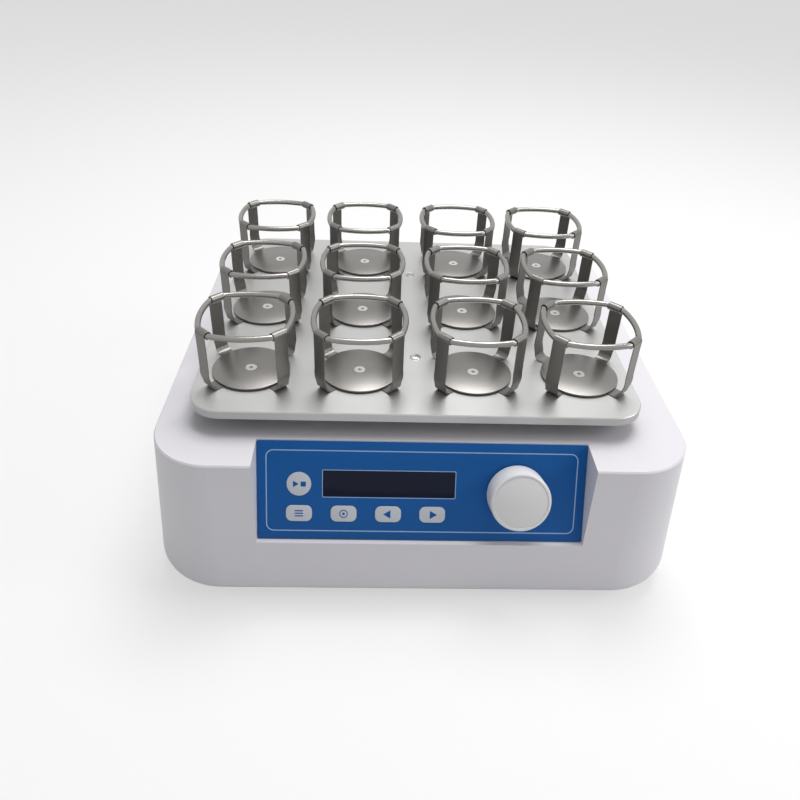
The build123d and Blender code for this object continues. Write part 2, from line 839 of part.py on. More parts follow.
def belt_loop(grow):
    """Outline of a belt round both pulleys, at a distance outside their rims."""
    large = RegularPolygon((pulley_radius + grow) / cos(pi / pulley_sides), pulley_sides)
    small = RegularPolygon((motor_pulley_radius + grow) / cos(pi / motor_pulley_sides), motor_pulley_sides)
    small = Pos(0, motor_y) * small
    return make_hull(large.edges() + small.edges())


def drive_belt():
    """Toothed belt round both pulleys, between their flanges."""
    outline = belt_loop(belt_gap + belt_thickness) - belt_loop(belt_gap)
    low = pulley_bottom + pulley_flange_thickness + belt_side_gap
    high = pulley_bottom + pulley_height - pulley_flange_thickness - belt_side_gap
    return Pos(0, 0, low) * extrude(outline, high - low)


def power_supply():
    """Enclosed supply: a sheet-metal can on four short feet."""
    can_bottom = case_bottom + supply_foot
    can = extrude(Rectangle(supply_width, supply_length), supply_height)
    can -= Pos(0, 0, supply_wall) * extrude(
        Rectangle(supply_width - 2 * supply_wall, supply_length - 2 * supply_wall),
        supply_height - 2 * supply_wall,
    )
    can = Pos(supply_x, supply_y, can_bottom) * can
    reach_x = supply_width / 2 - supply_foot_side
    reach_y = supply_length / 2 - supply_foot_side
    for sx in (-1, 1):
        for sy in (-1, 1):
            foot = extrude(Rectangle(supply_foot_side, supply_foot_side), supply_foot)
            can += Pos(supply_x + sx * reach_x, supply_y + sy * reach_y, case_bottom) * foot
    return can


def socket_outline():
    """Outline of the inlet's socket, with its two lower corners cut."""
    right, high, cut = socket_width / 2, socket_height / 2, socket_corner
    return Polygon(
        (right, high),
        (-right, high),
        (-right, cut - high),
        (cut - right, -high),
        (right - cut, -high),
        (right, cut - high),
        align=None,
    )


def power_inlet():
    """Inlet module: flange, body, the socket with its three blades and the rocker's well."""
    top = inlet_flange_thickness
    floor = top - socket_depth
    flange = soft_rectangle(inlet_flange_width, inlet_flange_height, inlet_corner)
    body = extrude(flange, top)
    body += extrude(Rectangle(inlet_body_width, inlet_body_height), -inlet_body_depth)
    body -= Pos(socket_offset, 0, floor) * extrude(socket_outline(), socket_depth, dir=(0, 0, 1))
    for column in (-1, 0, 1):
        drop = -blade_drop if column else blade_drop
        blade = extrude(Rectangle(blade_thickness, blade_width), blade_length)
        body += Pos(socket_offset + column * blade_pitch, drop, floor) * blade
    well_width = rocker_width + 2 * rocker_gap
    well = extrude(Rectangle(well_width, rocker_length + 2 * rocker_gap), -rocker_well_depth)
    body -= Pos(rocker_offset, 0, top) * well
    pin_hole = extrude(
        RegularPolygon((rocker_pin_radius + running_gap) / cos(pi / hole_sides), hole_sides),
        well_width / 2 + rocker_pin_reach + rocker_gap,
        both=True,
    )
    body -= Pos(rocker_offset, 0, top - rocker_pivot_depth) * Rot(0, 90, 0) * pin_hole
    return back_face * body


def rocker():
    """Rocker on two pins that turn in the inlet module."""
    half = rocker_length / 2
    rise = rocker_crest + half * tan(radians(rocker_swing / 2))
    profile = Polygon(
        (-half, 0),
        (0, -rocker_keel),
        (half, 0),
        (half - rocker_end_slant, rise),
        (0, rocker_crest),
        (rocker_end_slant - half, rise),
        align=None,
    )
    body = Plane.YZ * extrude(profile, rocker_width / 2, both=True)
    pin_half = rocker_width / 2 + rocker_gap + rocker_pin_reach
    body += Plane.YZ * extrude(Circle(rocker_pin_radius), pin_half, both=True)
    pivot = back_face * Pos(rocker_offset, 0, inlet_flange_thickness - rocker_pivot_depth)
    return pivot * Rot(rocker_swing / 2, 0, 0) * body


save("housing_cover", housing_cover())
save("base_pan", base_pan())
save("rubber_feet", *[rubber_foot(x, y) for x, y in foot_places])
pan_screw_length = pan_thickness + case_wall
screws = [case_screw(Plane((x, y, pan_bottom), z_dir=(0, 0, -1)), pan_screw_length) for x, y in pan_screws]
for boss_x, boss_row in board_bosses:
    seat = panel_face * Pos(boss_x, boss_row, -face_to_board - board_thickness) * Rot(180, 0, 0)
    screws.append(case_screw(seat, board_thickness + board_gap))
save("case_screws", *screws)

save("control_panel", control_panel())
save("display_module", display_module())
save("control_board", *control_board())
for name, (x, row, radius) in zip(key_names, key_places):
    save(name, key(x, row, radius))
save("encoder_body", encoder_body())
save("encoder_plunger", encoder_plunger())
save("encoder_spindle", encoder_spindle())
save("knob", knob())

save("drive_frame", drive_frame())
save("drive_bearings", *drive_bearings())
save("crankshaft", crankshaft())
save("counterweight", counterweight())
save("crank_pulley", crank_pulley())
save("motor", motor())
save("motor_pulley", motor_pulley())
save("drive_belt", drive_belt())
for number, (x, y) in enumerate(idler_axes, 1):
    save("idler_crank_" + str(number), idler_crank(x, y))
save("power_supply", power_supply())
save("power_inlet", power_inlet())
save("rocker", rocker())

save("platform", platform())
save("platform_screws", *[platform_screw(y) for y in (-platform_screw_y, platform_screw_y)])
save("carrier_plate", carrier_plate())
carrier_bearings = [bearing(pin_bearing, carrier_bottom, pin_x, pin_y)]
carrier_bearings += [bearing(idler_bearing, carrier_bottom, x + pin_x, y + pin_y) for x, y in idler_axes]
save("carrier_bearings", *carrier_bearings)

frame, tension_ring, seat_disc, screw = clamp_frame(), clamp_ring(), clamp_disc(), clamp_screw()
for number, (x, y) in enumerate(clamp_places, 1):
    place = Pos(pin_x + x, pin_y + y, platform_top)
    suffix = "_" + str(number).zfill(2)
    save("clamp_frame" + suffix, place * frame)
    save("clamp_ring" + suffix, place * Pos(0, 0, disc_top - platform_top + ring_height) * tension_ring)
save("clamp_discs", *[Pos(pin_x + x, pin_y + y, 0) * seat_disc for x, y in clamp_places])
save("clamp_screws", *[Pos(pin_x + x, pin_y + y, 0) * screw for x, y in clamp_places])
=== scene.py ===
# %% [markdown]
# An orbital shaker with twelve spring clamps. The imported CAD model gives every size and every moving
# body, so this lesson starts by loading it. What is right there stays and only gets a finish; what
# needs a finer form is modelled again around the same places, and then stands for its CAD node.

from math import asin, cos, pi, radians, sin, sqrt, tan

import bpy
import json
from mathutils import Matrix, Vector


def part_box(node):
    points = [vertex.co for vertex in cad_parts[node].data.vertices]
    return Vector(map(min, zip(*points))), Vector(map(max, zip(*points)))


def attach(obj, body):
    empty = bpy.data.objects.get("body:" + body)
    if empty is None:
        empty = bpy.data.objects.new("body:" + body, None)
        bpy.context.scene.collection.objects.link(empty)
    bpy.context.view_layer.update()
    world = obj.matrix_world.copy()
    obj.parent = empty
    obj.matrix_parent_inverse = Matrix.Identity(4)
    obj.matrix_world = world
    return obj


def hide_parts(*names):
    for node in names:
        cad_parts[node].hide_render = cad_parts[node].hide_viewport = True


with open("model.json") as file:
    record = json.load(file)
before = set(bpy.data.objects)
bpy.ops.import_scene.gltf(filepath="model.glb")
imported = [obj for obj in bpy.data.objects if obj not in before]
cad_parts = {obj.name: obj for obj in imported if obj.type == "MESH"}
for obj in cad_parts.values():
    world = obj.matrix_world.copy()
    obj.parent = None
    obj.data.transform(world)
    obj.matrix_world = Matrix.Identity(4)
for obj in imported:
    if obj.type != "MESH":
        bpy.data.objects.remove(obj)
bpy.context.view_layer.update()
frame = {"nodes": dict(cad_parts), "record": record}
MM = 0.001

# %% [markdown]
# The camera stands where the photographer stood: above the front edge and a little to the left, with
# a slight roll. A matrix built from the yaw, pitch and roll is surer than turning by hand.

# %% Camera
camera_place = Vector((-33.67, -511.44, 417.35)) * MM
yaw, pitch, roll = radians(2.61), radians(35.557), radians(2.591)
image_width, focal_pixels, sensor_width = 800, 728.63, 36.0
forward = Vector((sin(yaw) * cos(pitch), cos(yaw) * cos(pitch), -sin(pitch)))
level = Vector((cos(yaw), -sin(yaw), 0.0))
lift = level.cross(forward)
right = cos(roll) * level + sin(roll) * lift
upward = -sin(roll) * level + cos(roll) * lift
camera = bpy.data.objects.new("camera", bpy.data.cameras.new("camera"))
bpy.context.scene.collection.objects.link(camera)
camera_turn = Matrix((right, upward, -forward)).transposed().to_4x4()
camera.matrix_world = Matrix.Translation(camera_place) @ camera_turn
camera.data.sensor_width = sensor_width
camera.data.lens = focal_pixels / image_width * sensor_width
camera.data.clip_start = 0.01
bpy.context.scene.camera = camera
print("lens", round(camera.data.lens, 2), "mm")

# %% [markdown]
# The same few moves come back in every piece: begin with a primitive, pick some faces or edges by
# where they are, and settle the finished piece on its body. They are written once here.

# %% Helpers for modelling
def clear():
    """Leave edit mode and select nothing."""
    if bpy.context.object and bpy.context.object.mode != "OBJECT":
        bpy.ops.object.mode_set(mode="OBJECT")
    bpy.ops.object.select_all(action="DESELECT")


def begin(name, add, **sizes):
    """Add a primitive as the start of a piece."""
    clear()
    add(**sizes)
    piece = bpy.context.object
    piece.name = piece.data.name = name
    bpy.ops.object.transform_apply(location=True, rotation=True, scale=True)
    return piece


def pick(piece, kind, test):
    """Enter edit mode with only the vertices, edges or faces whose middle point passes a test."""
    bpy.context.view_layer.objects.active = piece
    bpy.ops.object.mode_set(mode="EDIT")
    bpy.ops.mesh.select_mode(type=kind)
    bpy.ops.mesh.select_all(action="DESELECT")
    bpy.ops.object.mode_set(mode="OBJECT")
    mesh = piece.data
    if kind == "FACE":
        for face in mesh.polygons:
            face.select = test(face.center, face.normal)
    elif kind == "EDGE":
        for edge in mesh.edges:
            ends = [mesh.vertices[i].co for i in edge.vertices]
            edge.select = test((ends[0] + ends[1]) / 2, ends[1] - ends[0])
    else:
        for vertex in mesh.vertices:
            vertex.select = test(vertex.co, vertex.normal)
    bpy.ops.object.mode_set(mode="EDIT")


def smooth(piece, angle=35):
    """Smooth shading that stays sharp at edges above an angle in degrees."""
    clear()
    piece.select_set(True)
    bpy.context.view_layer.objects.active = piece
    bpy.ops.object.shade_smooth_by_angle(angle=radians(angle))


def modify(piece, kind, **settings):
    """Add a modifier, set it and apply it."""
    clear()
    piece.select_set(True)
    bpy.context.view_layer.objects.active = piece
    modifier = piece.modifiers.new(kind.lower(), kind)
    for key, value in settings.items():
        setattr(modifier, key, value)
    bpy.ops.object.modifier_apply(modifier=modifier.name)


def recalculate(piece):
    """Merge doubled points and point every face outwards."""
    pick(piece, "VERT", lambda point, normal: True)
    bpy.ops.mesh.remove_doubles(threshold=1e-6)
    bpy.ops.mesh.normals_make_consistent(inside=False)
    clear()


def move(piece, matrix):
    """Move a finished mesh, so that its object stays at the origin."""
    piece.data.transform(matrix)
    piece.data.update()


def copy_piece(piece, name, matrix):
    """A copy with its own mesh, moved into place."""
    twin = bpy.data.objects.new(name, piece.data.copy())
    twin.data.name = name
    bpy.context.scene.collection.objects.link(twin)
    move(twin, matrix)
    return twin


def join(pieces, name):
    """Join pieces that are one part into a single mesh."""
    clear()
    for piece in pieces:
        piece.select_set(True)
    bpy.context.view_layer.objects.active = pieces[0]
    bpy.ops.object.join()
    pieces[0].name = pieces[0].data.name = name
    return pieces[0]


def settle(piece, body, slot, material, *nodes):
    """Give a piece its body and finish, and let it stand for its CAD nodes. The slot argument is not used.
    """
    clear()
    piece.data.materials.clear()
    piece.data.materials.append(material)
    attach(piece, body)
    if nodes:
        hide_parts(*nodes)
    return piece


# %% [markdown]
# Real surfaces are never one flat value. Three small node groups carry what several finishes share:
# the fine pimples of moulded plastic, the drawn lines of worked metal, and the faint smears that
# hands leave. Each puts out only values and normals, so every material can mix them its own way.

# %% Shader groups
def new_group(name, inputs, outputs):
    """An empty shader group with named sockets."""
    group = bpy.data.node_groups.new(name, "ShaderNodeTree")
    for direction, sockets in (("INPUT", inputs), ("OUTPUT", outputs)):
        for label, kind, value in sockets:
            socket = group.interface.new_socket(name=label, in_out=direction, socket_type=kind)
            if value is not None:
                socket.default_value = value
    return group, group.nodes.new("NodeGroupInput"), group.nodes.new("NodeGroupOutput")


def noise_in(group, scale, detail, stretch=None):
    """Noise on Object coordinates, stretched along an axis if asked."""
    place = group.nodes.new("ShaderNodeTexCoord")
    noise = group.nodes.new("ShaderNodeTexNoise")
    noise.inputs["Scale"].default_value = scale
    noise.inputs["Detail"].default_value = detail
    source = place.outputs["Object"]
    if stretch:
        mapping = group.nodes.new("ShaderNodeMapping")
        mapping.inputs["Scale"].default_value = stretch
        group.links.new(source, mapping.inputs["Vector"])
        source = mapping.outputs["Vector"]
    group.links.new(source, noise.inputs["Vector"])
    return noise


def blend_in(group, low, high, factor, out):
    """Link low + factor * (high - low) to an output socket."""
    node = group.nodes.new("ShaderNodeMapRange")
    node.clamp = False
    group.links.new(factor, node.inputs["Value"])
    for socket, label in ((low, "To Min"), (high, "To Max")):
        if isinstance(socket, (int, float)):
            node.inputs[label].default_value = socket
        else:
            group.links.new(socket, node.inputs[label])
    group.links.new(node.outputs["Result"], out)
    return node


def bump_in(group, height, strength, distance, out):
    """Bump from a height, with its strength from the group's input."""
    bump = group.nodes.new("ShaderNodeBump")
    bump.inputs["Distance"].default_value = distance
    group.links.new(height, bump.inputs["Height"])
    group.links.new(strength, bump.inputs["Strength"])
    group.links.new(bump.outputs["Normal"], out)


FLOAT, COLOUR, VECTOR = "NodeSocketFloat", "NodeSocketColor", "NodeSocketVector"
moulded, into, out = new_group(
    "moulded_grain",
    [("Smooth", FLOAT, 0.3), ("Rough", FLOAT, 0.5), ("Relief", FLOAT, 0.2)],
    [("Roughness", FLOAT, None), ("Shade", FLOAT, None), ("Normal", VECTOR, None)],
)
pimples = noise_in(moulded, 2600.0, 2.0)
clouds = noise_in(moulded, 9.0, 3.0)
blend_in(moulded, into.outputs["Smooth"], into.outputs["Rough"], clouds.outputs[0], out.inputs["Roughness"])
blend_in(moulded, 0.96, 1.04, clouds.outputs[0], out.inputs["Shade"])
bump_in(moulded, pimples.outputs[0], into.outputs["Relief"], 0.00005, out.inputs["Normal"])

lines, into, out = new_group(
    "drawn_lines",
    [("Smooth", FLOAT, 0.25), ("Rough", FLOAT, 0.45), ("Relief", FLOAT, 0.2)],
    [("Roughness", FLOAT, None), ("Shade", FLOAT, None), ("Normal", VECTOR, None)],
)
strokes = noise_in(lines, 60.0, 6.0, (0.6, 40.0, 40.0))
blend_in(lines, into.outputs["Smooth"], into.outputs["Rough"], strokes.outputs[0], out.inputs["Roughness"])
blend_in(lines, 0.93, 1.07, strokes.outputs[0], out.inputs["Shade"])
bump_in(lines, strokes.outputs[0], into.outputs["Relief"], 0.00003, out.inputs["Normal"])

smears, into, out = new_group(
    "hand_smears",
    [("Roughness", FLOAT, 0.3), ("Amount", FLOAT, 0.1), ("Size", FLOAT, 14.0)],
    [("Roughness", FLOAT, None)],
)
patches = noise_in(smears, 14.0, 5.0)
smears.links.new(into.outputs["Size"], patches.inputs["Scale"])
more = smears.nodes.new("ShaderNodeMath")
more.operation = "MULTIPLY_ADD"
smears.links.new(patches.outputs[0], more.inputs[0])
smears.links.new(into.outputs["Amount"], more.inputs[1])
smears.links.new(into.outputs["Roughness"], more.inputs[2])
smears.links.new(more.outputs[0], out.inputs["Roughness"])
print("groups:", [group.name for group in bpy.data.node_groups])

# %% [markdown]
# One function makes a finish from a colour, a pair of roughness values and one of the two grain
# groups, with smears on top. Constants such as the metallic value sit on the shader's own sockets.

# %% Finishes
def finish(name, colour, smooth_to, rough_to, grain, relief=0.2, metallic=0.0, smear=0.08, shine=0.5):
    """A material whose colour and gloss vary the way the real surface does."""
    material = bpy.data.materials.new(name)
    material.use_nodes = True
    tree = material.node_tree
    shader = tree.nodes["Principled BSDF"]
    shader.inputs["Metallic"].default_value = metallic
    shader.inputs["Specular IOR Level"].default_value = shine
    surface = tree.nodes.new("ShaderNodeGroup")
    surface.node_tree = grain
    surface.inputs["Smooth"].default_value = smooth_to
    surface.inputs["Rough"].default_value = rough_to
    surface.inputs["Relief"].default_value = relief
    touch = tree.nodes.new("ShaderNodeGroup")
    touch.node_tree = smears
    touch.inputs["Amount"].default_value = smear
    tint = tree.nodes.new("ShaderNodeMix")
    tint.data_type, tint.blend_type = "RGBA", "MULTIPLY"
    tint.inputs["Factor"].default_value = 1.0
    tint.inputs["A"].default_value = (*colour, 1.0)
    links = tree.links
    links.new(surface.outputs["Shade"], tint.inputs["B"])
    links.new(tint.outputs["Result"], shader.inputs["Base Color"])
    links.new(surface.outputs["Roughness"], touch.inputs["Roughness"])
    links.new(touch.outputs["Roughness"], shader.inputs["Roughness"])
    links.new(surface.outputs["Normal"], shader.inputs["Normal"])
    return material


white_moulding = finish("white_moulding", (0.69, 0.675, 0.71), 0.34, 0.44, moulded, 0.12)
blue_foil = finish("blue_foil", (0.004, 0.094, 0.335), 0.40, 0.50, moulded, 0.08, shine=0.22)
pale_line = finish("pale_line", (0.34, 0.49, 0.72), 0.40, 0.50, moulded, shine=0.3)
key_foil = finish("key_foil", (0.58, 0.61, 0.66), 0.36, 0.46, moulded, 0.1, shine=0.3)
dark_window = finish("dark_window", (0.002, 0.006, 0.022), 0.10, 0.16, moulded, 0.0, smear=0.05, shine=0.16)
knob_face_grey = finish("knob_face_grey", (0.74, 0.74, 0.75), 0.34, 0.42, moulded, 0.15)
knob_silver = finish("knob_silver", (0.74, 0.74, 0.75), 0.26, 0.36, moulded, 0.1)
satin_plate = finish("satin_plate", (0.46, 0.46, 0.455), 0.32, 0.44, lines, 0.12, metallic=0.85)
clamp_strip = finish("clamp_strip", (0.185, 0.178, 0.168), 0.26, 0.38, lines, 0.25, metallic=0.95)
spring_wire = finish("spring_wire", (0.27, 0.26, 0.245), 0.14, 0.24, lines, 0.08, metallic=1.0)
seat_steel = finish("seat_steel", (0.215, 0.208, 0.198), 0.24, 0.36, lines, 0.25, metallic=0.95)
bright_screw = finish("bright_screw", (0.62, 0.62, 0.61), 0.16, 0.26, moulded, 0.1, metallic=1.0)
cast_metal = finish("cast_metal", (0.52, 0.52, 0.53), 0.40, 0.58, moulded, 0.5, metallic=0.8)
ground_steel = finish("ground_steel", (0.46, 0.46, 0.47), 0.16, 0.26, lines, 0.1, metallic=1.0)
iron_paint = finish("iron_paint", (0.09, 0.09, 0.10), 0.45, 0.60, moulded, 0.5)
motor_paint = finish("motor_paint", (0.03, 0.03, 0.034), 0.32, 0.44, moulded, 0.2)
pan_paint = finish("pan_paint", (0.42, 0.43, 0.45), 0.42, 0.56, moulded, 0.5, metallic=0.2)
zinc_sheet = finish("zinc_sheet", (0.50, 0.51, 0.52), 0.30, 0.48, moulded, 0.2, metallic=0.9)
inlet_plastic = finish("inlet_plastic", (0.016, 0.016, 0.017), 0.38, 0.52, moulded, 0.3)
foot_rubber = finish("foot_rubber", (0.022, 0.022, 0.022), 0.70, 0.85, moulded, 0.5)
board_mask = finish("board_mask", (0.015, 0.11, 0.045), 0.30, 0.42, moulded, 0.1)
print("finishes:", len(bpy.data.materials))

# %% [markdown]
# Most CAD nodes are right as they are, above all those inside. They keep their mesh and take a finish
# through their material slot.

# %% Finishes on the CAD nodes
finish_of_slot = {
    "housing_white": white_moulding, "panel_blue": blue_foil, "key_grey": key_foil,
    "display_dark": dark_window, "knob_silver": knob_silver, "board_green": board_mask,
    "encoder_metal": ground_steel, "platform_aluminium": satin_plate, "clamp_steel": clamp_strip,
    "screw_steel": bright_screw, "cast_aluminium": cast_metal, "shaft_steel": ground_steel,
    "weight_iron": iron_paint, "motor_black": motor_paint, "pan_paint": pan_paint,
    "supply_can": zinc_sheet, "inlet_black": inlet_plastic, "foot_rubber": foot_rubber,
    "belt_rubber": foot_rubber,
}
for part in frame["record"]["subparts"]:
    node = frame["nodes"][part["node"]]
    node.data.materials.clear()
    node.data.materials.append(finish_of_slot[part["material_slot"]])

# %% [markdown]
# The clamps. Each has a round steel seat, screwed down through a countersunk hole. A disc is a
# cylinder whose top is inset twice: once to the hole's rim and once, lower, to its bottom. The rim
# gets a small bevel, because a stamped disc has no razor edge.

# %% Seat disc
platform_top, disc_low, disc_top = 136.0 * MM, 136.7 * MM, 138.0 * MM
disc_radius, sink_radius, shank_radius, sink_depth = 26.75 * MM, 4.15 * MM, 2.2 * MM, 1.25 * MM
disc = begin(
    "seat_disc", bpy.ops.mesh.primitive_cylinder_add, vertices=96, radius=disc_radius,
    depth=disc_top - disc_low, location=(0, 0, (disc_top + disc_low) / 2),
)
pick(disc, "EDGE", lambda middle, along: abs(along.z) < 1e-6)
bpy.ops.mesh.bevel(offset=0.22 * MM, segments=2, affect="EDGES")
pick(disc, "FACE", lambda middle, normal: normal.z > 0.99)
bpy.ops.mesh.inset(thickness=disc_radius - 0.22 * MM - sink_radius)
bpy.ops.mesh.inset(thickness=sink_radius - shank_radius, depth=-sink_depth)
smooth(disc, 30)
print("disc faces:", len(disc.data.polygons))

# %% [markdown]
# The screw in the middle is countersunk with a hexagon socket. Two circles of different counts are
# bridged into its flat ring; the inner one is then pulled down for the socket and the outer one drawn
# in for the cone.

# %% Clamp screw
head_radius, socket_radius, socket_depth = 3.95 * MM, 1.5 * MM, 1.1 * MM
screw = begin(
    "clamp_screw", bpy.ops.mesh.primitive_circle_add, vertices=48, radius=head_radius,
    location=(0, 0, disc_top - 0.08 * MM),
)
socket = begin(
    "socket", bpy.ops.mesh.primitive_circle_add, vertices=6, radius=socket_radius,
    location=(0, 0, disc_top - 0.08 * MM),
)
screw = join([screw, socket], "clamp_screw")
pick(screw, "EDGE", lambda middle, along: True)
bpy.ops.mesh.bridge_edge_loops()
pick(screw, "VERT", lambda point, normal: point.xy.length < socket_radius * 1.1)
bpy.ops.mesh.select_mode(type="EDGE")
bpy.ops.mesh.extrude_region_move(TRANSFORM_OT_translate={"value": (0, 0, -socket_depth)})
bpy.ops.mesh.edge_face_add()
pick(screw, "VERT", lambda point, normal: point.xy.length > head_radius * 0.9)
bpy.ops.mesh.select_mode(type="EDGE")
bpy.ops.mesh.extrude_region_move(TRANSFORM_OT_translate={"value": (0, 0, -sink_depth)})
bpy.ops.transform.resize(value=(0.53, 0.53, 1.0))
bpy.ops.mesh.edge_face_add()
recalculate(screw)
smooth(screw, 30)
print("screw faces:", len(screw.data.polygons))

# %% [markdown]
# The spring frame is bent from strip: each arm runs out under the disc, turns up in a tight bend,
# bulges out a little, leans back in and is rolled round the tension ring at its top. One edge of a
# small plane is extruded along that line, three turned copies follow, and the sheet then gets its
# thickness and its softened edges.

# %% Line of one arm
strip_width, strip_thickness = 10.0 * MM, 0.7 * MM
ring_height = disc_top + 40.5 * MM
corner_reach, side_reach, wire_radius = 33.6 * MM, 30.6 * MM, 2.0 * MM
bend_centre, bend_radius = (30.3 * MM, 4.85 * MM), 4.5 * MM
roll_radius = wire_radius + 0.55 * MM
arm_line = [(6.0 * MM, 0.35 * MM), (18.0 * MM, 0.35 * MM)]
arm_line += [
    (bend_centre[0] + bend_radius * sin(a), bend_centre[1] - bend_radius * cos(a))
    for a in [radians(step) for step in range(0, 91, 15)]
]
ring_level = ring_height - platform_top
arm_line += [(35.7 * MM, 8.0 * MM), (36.4 * MM, 11.0 * MM), (36.5 * MM, 14.0 * MM), (36.2 * MM, 17.0 * MM)]
arm_line += [(corner_reach + roll_radius - 0.1 * MM, ring_level - 9.0 * MM)]
arm_line += [
    (corner_reach + roll_radius * cos(a), ring_level + roll_radius * sin(a))
    for a in [radians(step) for step in range(-10, 291, 20)]
]
print("points along the arm:", len(arm_line))

# %% Spring frame
arm = begin("arm", bpy.ops.mesh.primitive_plane_add, size=1.0, location=(0, 0, 0))
bpy.ops.transform.resize(value=(2 * arm_line[0][0], strip_width, 1.0))
bpy.ops.object.transform_apply(location=False, rotation=False, scale=True)
move(arm, Matrix.Translation((0, 0, platform_top + arm_line[0][1])))
pick(arm, "EDGE", lambda middle, along: middle.x > arm_line[0][0] * 0.9)
for (x0, z0), (x1, z1) in zip(arm_line, arm_line[1:]):
    bpy.ops.mesh.extrude_region_move(TRANSFORM_OT_translate={"value": (x1 - x0, 0, z1 - z0)})
clear()
arms = [
    copy_piece(arm, "arm_" + str(turn), Matrix.Rotation(radians(turn), 4, "Z"))
    for turn in (45, 135, 225, 315)
]
bpy.data.objects.remove(arm)
spring_frame = join(arms, "spring_frame")
modify(spring_frame, "SOLIDIFY", thickness=strip_thickness - 0.05 * MM, offset=0.0)
modify(spring_frame, "BEVEL", width=0.12 * MM, segments=1, limit_method="ANGLE")
smooth(spring_frame, 40)
print("frame faces:", len(spring_frame.data.polygons))

# %% [markdown]
# The tension ring is a closed rod of spring steel. Its sides bow outwards between the sleeves and it
# runs straight through each of them. A curve with a round section follows that line and is then made
# a mesh.

# %% Tension ring
run = strip_width / 2 + 0.4 * MM
side_x = (corner_reach - run) / sqrt(2)
side_y = (corner_reach + run) / sqrt(2)
rise = side_reach - side_y
bow = (side_x**2 + rise**2) / (2 * rise)
half_angle = asin(side_x / bow)
ring_line = []
for turn in range(4):
    for step in range(13):
        a = half_angle * (1 - step / 6)
        point = Vector((bow * sin(a), side_reach - bow * (1 - cos(a)), 0.0))
        ring_line.append(Matrix.Rotation(turn * pi / 2, 3, "Z") @ point)
wire = bpy.data.curves.new("tension_ring", "CURVE")
wire.dimensions = "3D"
wire.bevel_depth, wire.bevel_resolution = wire_radius, 6
spline = wire.splines.new("POLY")
spline.points.add(len(ring_line) - 1)
for point, place in zip(spline.points, ring_line):
    point.co = (place.x, place.y, ring_height, 1.0)
spline.use_cyclic_u = True
tension_ring = bpy.data.objects.new("tension_ring", wire)
bpy.context.scene.collection.objects.link(tension_ring)
clear()
tension_ring.select_set(True)
bpy.context.view_layer.objects.active = tension_ring
bpy.ops.object.convert(target="MESH")
recalculate(tension_ring)
smooth(tension_ring, 60)
print("ring faces:", len(tension_ring.data.polygons))

# %% [markdown]
# The clamp is finished, so it is copied to its twelve places. The places come from the CAD boxes, so
# the fine pieces sit exactly where the plain ones were, and the plain ones are hidden.

# %% Twelve clamps
for number in range(1, 13):
    tag = "_" + str(number).zfill(2)
    low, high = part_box("clamp_ring" + tag)
    place = Matrix.Translation(((low.x + high.x) / 2, (low.y + high.y) / 2, 0))
    for pattern, slot, material, node in (
        (spring_frame, "clamp_steel", clamp_strip, "clamp_frame" + tag),
        (tension_ring, "clamp_steel", spring_wire, "clamp_ring" + tag),
        (disc, "clamp_steel", seat_steel, "clamp_discs"),
        (screw, "screw_steel", bright_screw, "clamp_screws"),
    ):
        settle(copy_piece(pattern, pattern.name + tag, place), "carriage", slot, material, node)
for pattern in (spring_frame, tension_ring, disc, screw):
    bpy.data.objects.remove(pattern)

# %% [markdown]
# The control panel leans back, so its pieces are modelled lying flat, with X to the right, Y up the
# panel and Z out of it, and one matrix then stands them on the real face.

# %% Panel plane
# The plate's middle line at its lower edge, on the outer face
lean = radians(24.7)
panel_foot = Vector((0.0, -169.256, 56.4)) * MM
panel_place = Matrix.Translation(panel_foot) @ Matrix(
    ((1, 0, 0), (0, sin(lean), -cos(lean)), (0, cos(lean), sin(lean)))
).to_4x4()
panel_width, panel_height, panel_thickness = 217.4 * MM, 67.8 * MM, 1.5 * MM


def rounded_block(name, width, height, corner, low, high, x=0.0, y=0.0, edge=0.0):
    """A flat block with round corners between two heights, its top edge softened if asked."""
    block = begin(name, bpy.ops.mesh.primitive_cube_add, size=1.0)
    size = Matrix.Diagonal((width, height, high - low, 1))
    move(block, Matrix.Translation((x, y, (low + high) / 2)) @ size)
    pick(block, "EDGE", lambda middle, along: abs(along.z) > 0.9 * (high - low))
    bpy.ops.mesh.bevel(offset=corner, segments=8, affect="EDGES")
    if edge:
        pick(block, "EDGE", lambda middle, along: middle.z > high - 1e-6)
        bpy.ops.mesh.bevel(offset=edge, segments=3, affect="EDGES")
    clear()
    return block


def rounded_frame(name, width, height, corner, line, low, high, x=0.0, y=0.0):
    """A thin raised frame line: the top of a rounded block inset and its middle removed."""
    block = rounded_block(name, width, height, corner, low, high, x, y)
    pick(block, "FACE", lambda middle, normal: abs(normal.z) > 0.99)
    bpy.ops.mesh.inset(thickness=line)
    bpy.ops.mesh.bridge_edge_loops()
    clear()
    return block


def flat_cylinder(name, radius, low, high, x=0.0, y=0.0, sides=64):
    """A flat round block between two heights."""
    return begin(
        name, bpy.ops.mesh.primitive_cylinder_add, vertices=sides, radius=radius, depth=high - low,
        location=(x, y, (low + high) / 2),
    )


first_key, key_pitch = -81.3 * MM, 29.5 * MM
key_columns = [first_key + key_pitch * column for column in range(4)]
key_row, start_row = 18.6 * MM, 38.8 * MM
key_width, key_height, key_corner, key_gap = 17.2 * MM, 11.0 * MM, 3.95 * MM, 0.15 * MM
start_radius, knob_x, knob_y, bushing_hole = 8.1 * MM, 62.6 * MM, 34.2 * MM, 5.3 * MM
window_x, window_y, window_width, window_height = -21.9 * MM, 39.25 * MM, 86.9 * MM, 17.6 * MM
print("key columns:", [round(x / MM, 1) for x in key_columns])

# %% [markdown]
# The blue plate has rounded openings for its keys, window and knob. A boolean with a rounded block
# per opening cuts them cleanly in one go each.

